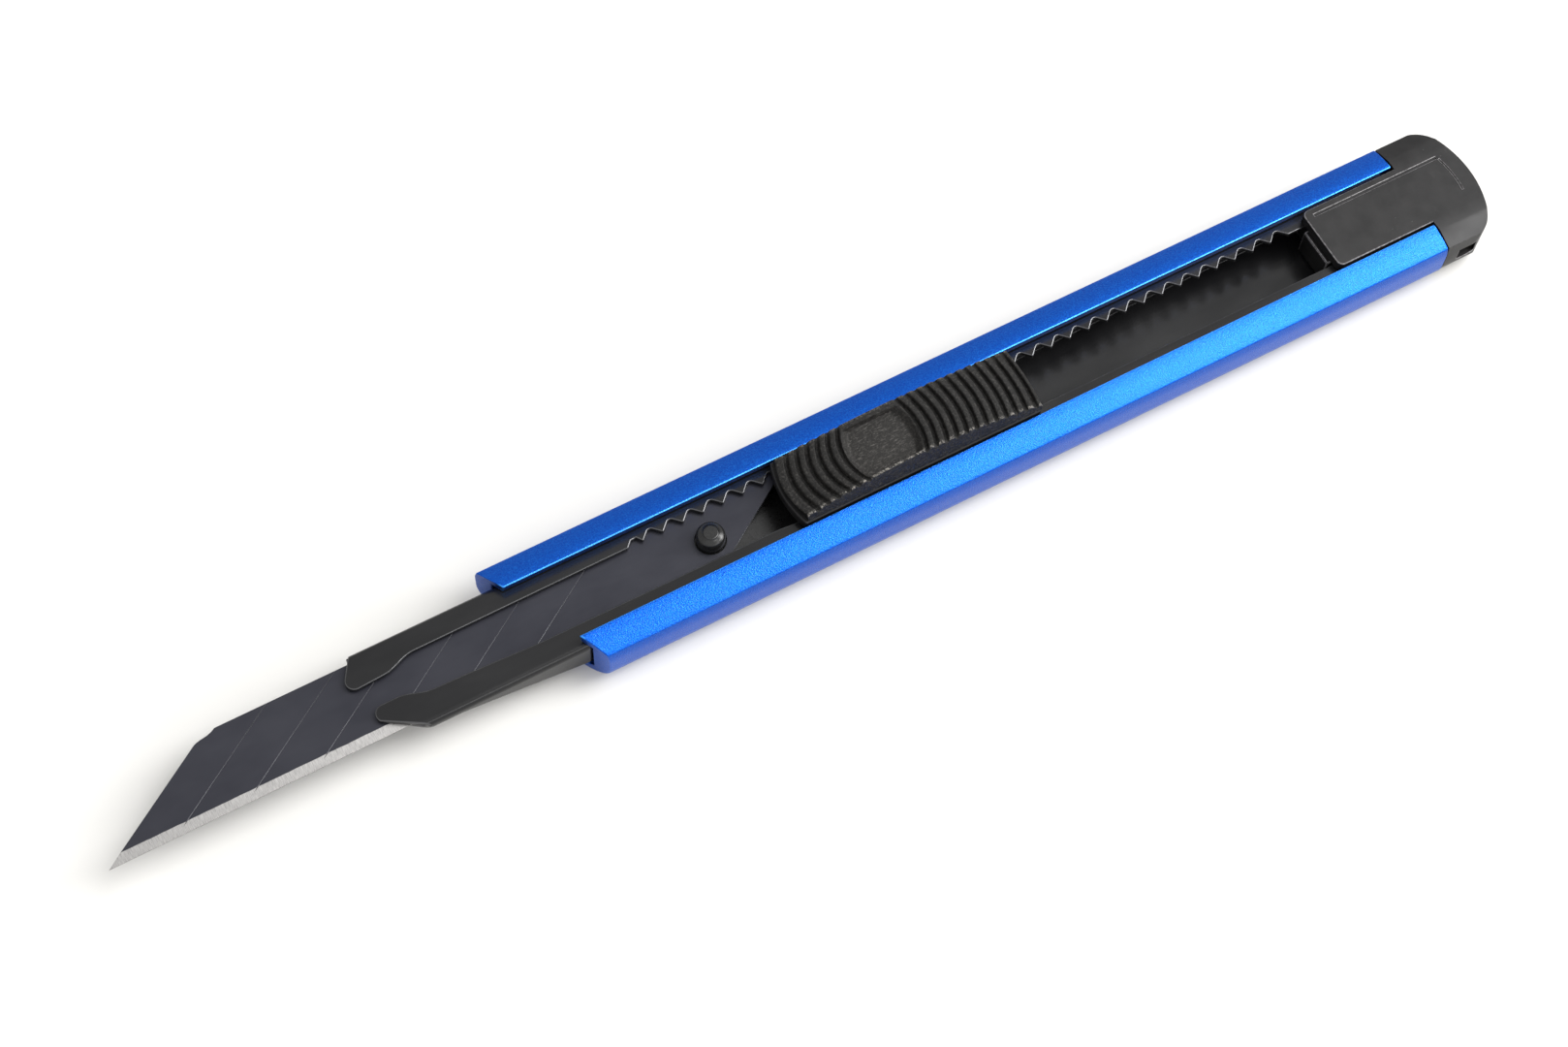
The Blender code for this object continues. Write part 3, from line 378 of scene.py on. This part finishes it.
def rubbery_grip():
    """Coarse rubbery plastic, speckled all over and rubbed light on the rib ends; the near side's
    rib ends are lighter still, a painted highlight.
    """
    look = Look("grip_plastic_fine", (0.015, 0.014, 0.013), 0.62, 0.0, 0.18)
    fine = look.noise(0.27, detail=5.0, rough=0.8)
    coarse = look.noise(0.4, detail=5.0, rough=0.7)
    scratch = look.noise(0.14, (0.22, 1.0, 1.0), 5.0, 0.75)
    # Rib-end wear, lighter on the near side as painted highlight.
    wear_and_highlight = look.attribute("wear_and_highlight")
    patchy = look.spread(look.noise(0.22, (1.0, 0.6, 1.0), 4.0, 0.7), 0.46, 0.66)
    speckle = look.math("MULTIPLY", wear_and_highlight, patchy)
    thumb = look.attribute("thumb")
    tone = look.blend(look.spread(coarse, 0.3, 0.7),
                      (0.003, 0.0028, 0.0027), (0.011, 0.0104, 0.0096))
    tone = look.blend(look.math("MULTIPLY", thumb, 0.25), tone, (0.035, 0.033, 0.031))
    tone = look.blend(look.spread(fine, 0.52, 0.68, 0.0, 0.5), tone, (0.075, 0.071, 0.065))
    scored = look.math("MULTIPLY", look.spread(scratch, 0.54, 0.70),
                       look.spread(thumb, 0.0, 1.0, 0.2, 0.8))
    tone = look.blend(scored, tone, (0.11, 0.104, 0.097))
    look.colour(look.blend(speckle, tone, (0.22, 0.205, 0.185)))
    look.roughness(look.spread(coarse, 0.3, 0.7, 0.5, 0.72))
    look.bump((coarse, 0.10, 0.8), (fine, 0.05, 0.9))
    return look.material


def turned_steel(name, shade, roughness, metallic):
    look = Look(name, (shade, shade, shade * 1.02), roughness, metallic)
    rings = look.noise(0.3, (1.0, 1.0, 0.2), 2.0)
    wear = look.noise(0.6, detail=3.0)
    look.colour(look.blend(look.spread(wear, 0.35, 0.7), (shade * 0.85,) * 3, (shade * 1.3,) * 3))
    look.roughness(look.spread(rings, 0.3, 0.7, roughness * 0.85, roughness * 1.2))
    look.bump((rings, 0.003, 0.25))
    return look.material


# ---------------------------------------------------------------- grip

def bow_at(x0):
    """How far the ribs at x0 bend back at their ends, towards the nearer end of the grip."""
    for (xa, a), (xb, b) in zip(RIB_BOW, RIB_BOW[1:]):
        if x0 <= xb:
            t = max(0.0, (x0 - xa) / (xb - xa))
            return a + (b - a) * t
    return RIB_BOW[-1][1]


def groove_centres():
    front = [FIRST_GROOVE + RIB_PITCH * i for i in range(FRONT_GROOVES)]
    rear = [LAST_GROOVE - RIB_PITCH * i for i in range(REAR_GROOVES)]
    return sorted(front + rear)


def grip_columns(front, back, grooves):
    """Places along the grip with a row of points, closer together at groove walls and ends."""
    places = {round(front + 0.02 * i * i, 4) for i in range(5)}
    places |= {round(back - 0.02 * i * i, 4) for i in range(5)}
    for centre in grooves:
        for offset in COLUMN_OFFSETS:
            places |= {round(centre + offset, 4), round(centre - offset, 4)}
    x = grooves[FRONT_GROOVES - 1] + RIB_PITCH / 2
    while x < grooves[FRONT_GROOVES] - RIB_PITCH / 2:
        places.add(round(x, 4))
        x += PLAIN_STEP
    ordered = sorted(p for p in places if front <= p <= back)
    kept = [ordered[0]]
    for place in ordered[1:]:
        if place - kept[-1] > CLOSEST_COLUMNS:
            kept.append(place)
    kept[-1] = back
    return kept


def groove_drop(x0, grooves):
    gap = min(abs(x0 - centre) for centre in grooves)
    return GROOVE_DEPTH * (1.0 - smoothstep(GROOVE_FLOOR, GROOVE_MOUTH, gap))


def crest_drop(x0, grooves):
    """Slight rounding of each rib between its two grooves."""
    gap = min(abs(x0 - centre) for centre in grooves)
    return CREST_ROUNDING * max(0.0, 1.0 - gap / (RIB_PITCH / 2)) ** 2


def recess_drop(x, y):
    """Thumb recess: a long ramp at the front, steep at the rear and along the far side."""
    front = smoothstep(0.0, 1.1, x - RECESS_FRONT - 0.10 * (y + 0.5) ** 2)
    rear = smoothstep(0.0, 0.95, RECESS_REAR - 0.085 * (y + 0.3) ** 2 - x)
    far = smoothstep(0.0, 0.12, RECESS_FAR - y)
    near = smoothstep(0.0, 0.18, y - RECESS_NEAR)
    return RECESS_DEPTH * front * rear * far * near


def make_grip(material):
    low, high = (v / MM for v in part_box("slider_grip"))
    bottom = GRIP_UNDERSIDE
    middle = (low.x + high.x) / 2
    half = (high.x - low.x) / 2
    half_width = high.y
    top = high.z
    radius = (half ** 2 + CROWN_RISE ** 2) / (2 * CROWN_RISE)
    grooves = groove_centres()
    columns = grip_columns(-half, half, grooves)
    bm = bmesh.new()
    wear_and_highlight = bm.verts.layers.float.new("wear_and_highlight")
    thumb = bm.verts.layers.float.new("thumb")
    rings = []
    for x0 in columns:
        bow = bow_at(x0)
        groove = groove_drop(x0, grooves)
        drop = groove + crest_drop(x0, grooves)
        from_end = min(x0 + half, half - x0)
        into_round = max(0.0, TOP_ROUND - from_end)
        end_round = TOP_ROUND - math.sqrt(max(0.0, TOP_ROUND ** 2 - into_round ** 2))
        ring = []

        def top_at(y):
            x = x0 + bow * (y / BOW_HALF_WIDTH) ** 2
            height = top - radius + math.sqrt(radius ** 2 - x * x)
            shallower = 0.45 * groove * smoothstep(2.4, 3.5, abs(y))
            return x, height - max(drop - shallower, recess_drop(x, y)) - end_round

        edge_x, edge_z = top_at(half_width - SIDE_LEAN)
        lean_at = SIDE_LEAN * (edge_z - bottom) / (top - bottom)
        edge_y = half_width - lean_at
        points = []
        for i in range(SIDE_ROWS + 1):
            t = i / SIDE_ROWS
            y = half_width - lean_at * t
            points.append((edge_x, y, bottom + (edge_z - TOP_ROUND - bottom) * t, 0.0))
        for i in range(1, ROUND_STEPS):
            a = math.radians(90.0 * i / ROUND_STEPS)
            y = edge_y - TOP_ROUND * (1 - math.cos(a))
            points.append((edge_x, y, edge_z - TOP_ROUND * (1 - math.sin(a)), 1.0))
        inner = edge_y - TOP_ROUND
        near_side = [(x, -y, z, w) for x, y, z, w in reversed(points)]
        crossing = []
        for i in range(POINTS_ACROSS + 1):
            y = inner - 2 * inner * i / POINTS_ACROSS
            x, z = top_at(y)
            rim = 0.8 * smoothstep(inner - 0.15, inner, abs(y))
            crossing.append((x, y, z, rim))
        for x, y, z, w in points + crossing + near_side:
            vert = bm.verts.new(((x + middle) * MM, y * MM, z * MM))
            ribbed = 1.0 if drop < 0.15 else 0.0
            # Rib-end wear: full on the near side as painted highlight, fainter on the far side.
            vert[wear_and_highlight] = w * ribbed if y < 0 else FAR_WEAR_AND_SHADE * w * ribbed
            vert[thumb] = recess_drop(x, y) / RECESS_DEPTH
            ring.append(vert)
        rings.append(ring)
    for ring, following in zip(rings, rings[1:]):
        for i in range(len(ring) - 1):
            bm.faces.new((ring[i], ring[i + 1], following[i + 1], following[i]))
        bm.faces.new((ring[-1], ring[0], following[0], following[-1]))
    bm.faces.new(rings[0])
    bm.faces.new(list(reversed(rings[-1])))
    add_grip_posts(bm, low.z, middle)
    stand_for(new_piece("slider_grip_fine", bm, 50.0), "slider_grip", material)


def add_grip_posts(bm, base, middle):
    """The two posts under the grip that run in the slots of the slider base."""
    top = GRIP_UNDERSIDE + POST_OVERLAP
    for x in POST_PLACES:
        size = Matrix.Diagonal((POST_LENGTH * MM, POST_WIDTH * MM, (top - base) * MM, 1.0))
        place = Matrix.Translation(((middle + x) * MM, 0.0, (base + top) / 2 * MM))
        bmesh.ops.create_cube(bm, size=1.0, matrix=place @ size)


def make_pawl_spring(material):
    """Finished copy of the pawl spring's leaf, given a mesh of its own."""
    spring = refined("pawl_spring", material, 0.02)
    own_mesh(spring)


# ---------------------------------------------------------------- stage

def make_camera():
    a = math.radians(CAMERA_AZIMUTH)
    e = math.radians(CAMERA_ELEVATION)
    roll = math.radians(CAMERA_ROLL)
    back = Vector((math.sin(a) * math.cos(e), -math.cos(a) * math.cos(e), math.sin(e)))
    right = Vector((math.cos(a), math.sin(a), 0.0))
    up = back.cross(right)
    x_axis = math.cos(roll) * right - math.sin(roll) * up
    y_axis = math.sin(roll) * right + math.cos(roll) * up
    turn = Matrix((x_axis, y_axis, back)).transposed()
    data = bpy.data.cameras.new("camera")
    data.sensor_width = SENSOR
    data.lens = CAMERA_LENS
    data.clip_start = 0.01
    camera = bpy.data.objects.new("camera", data)
    bpy.context.scene.collection.objects.link(camera)
    camera.matrix_world = Matrix.Translation(CAMERA_PLACE) @ turn.to_4x4()
    bpy.context.scene.camera = camera


def make_floor():
    mesh = bpy.data.meshes.new("floor")
    half = FLOOR_HALF
    corners = [(-half, -half, 0), (half, -half, 0), (half, half, 0), (-half, half, 0)]
    mesh.from_pydata(corners, [], [(0, 1, 2, 3)])
    floor = bpy.data.objects.new("floor", mesh)
    bpy.context.scene.collection.objects.link(floor)
    look = Look("floor_paper", (0.57, 0.563, 0.545), 0.9, 0.0, 0.1)
    mesh.materials.append(look.material)


def area_light(name, direction, size, power):
    data = bpy.data.lights.new(name, "AREA")
    data.shape = "RECTANGLE"
    data.size, data.size_y = size
    data.energy = power
    light = bpy.data.objects.new(name, data)
    bpy.context.scene.collection.objects.link(light)
    place = Vector(direction).normalized() * LIGHT_DISTANCE
    light.location = place
    light.rotation_mode = "QUATERNION"
    light.rotation_quaternion = place.to_track_quat("Z", "Y")


def make_world():
    """Soft studio surroundings, lighter towards the near side and the tail."""
    world = bpy.data.worlds.new("studio")
    bpy.context.scene.world = world
    world.use_nodes = True
    tree = world.node_tree
    background = tree.nodes["Background"]
    background.inputs["Color"].default_value = (1, 1, 1, 1)
    direction = tree.nodes.new("ShaderNodeTexCoord").outputs["Generated"]
    lean = tree.nodes.new("ShaderNodeVectorMath")
    lean.operation = "DOT_PRODUCT"
    lean.inputs[1].default_value = (0.2, -0.85, 0.3)
    tree.links.new(direction, lean.inputs[0])
    level = tree.nodes.new("ShaderNodeMapRange")
    level.interpolation_type = "SMOOTHSTEP"
    level.inputs["From Min"].default_value = -0.6
    level.inputs["From Max"].default_value = 0.8
    level.inputs["To Min"].default_value = 0.78
    level.inputs["To Max"].default_value = 1.2
    tree.links.new(lean.outputs["Value"], level.inputs["Value"])
    tree.links.new(level.outputs["Result"], background.inputs["Strength"])


def make_lights():
    make_world()
    area_light("soft_box", (0.53, -0.12, 0.84), (0.55, 0.55), 8.0)
    area_light("tail_panel", (0.90, -0.36, 0.17), (0.5, 0.32), 3.5)
    area_light("edge_panel", (0.81, -0.21, 0.53), (0.3, 0.3), 3.4)
    area_light("near_panel", (0.25, -0.76, 0.58), (0.5, 0.13), 1.0)
    bpy.context.scene.view_settings.view_transform = "Standard"


def make_pieces():
    sheet = blackened_sheet()
    edge_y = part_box("blade")[0].y / MM
    refined("body_extrusion", anodised_aluminium(), thin=0.15)
    refined("blade_channel", sheet, 0.12, 38.0, 3)
    cap = moulded_plastic("cap_plastic_fine", 0.009, 0.34, 0.46, 0.006, 0.8)
    refined("end_cap", cap, 0.07, segments=1, thin=0.15)
    refined("blade", blade_steel(edge_y), 0.03, 60.0, 1, 8.0, thin=0.2)
    refined("blade_stud", turned_steel("stud_steel_fine", 0.009, 0.26, 0.2), 0.03)
    refined("blade_carrier", turned_steel("strip_steel_fine", 0.007, 0.3, 0.3), 0.05)
    base = moulded_plastic("base_plastic_fine", 0.007, 0.45, 0.58, 0.008, 0.03)
    refined("slider_base", base, 0.05)
    refined("lock_pawl", turned_steel("pawl_steel_fine", 0.3, 0.35, 1.0), 0.04)
    make_pawl_spring(turned_steel("spring_steel_fine", 0.45, 0.25, 1.0))
    rivet = turned_steel("rivet_steel_fine", 0.35, 0.35, 1.0)
    refined("carrier_rivet_front", rivet, 0.03)
    refined("carrier_rivet_rear", rivet, 0.03)
    make_grip(rubbery_grip())


make_camera()
make_floor()
make_pieces()
make_lights()
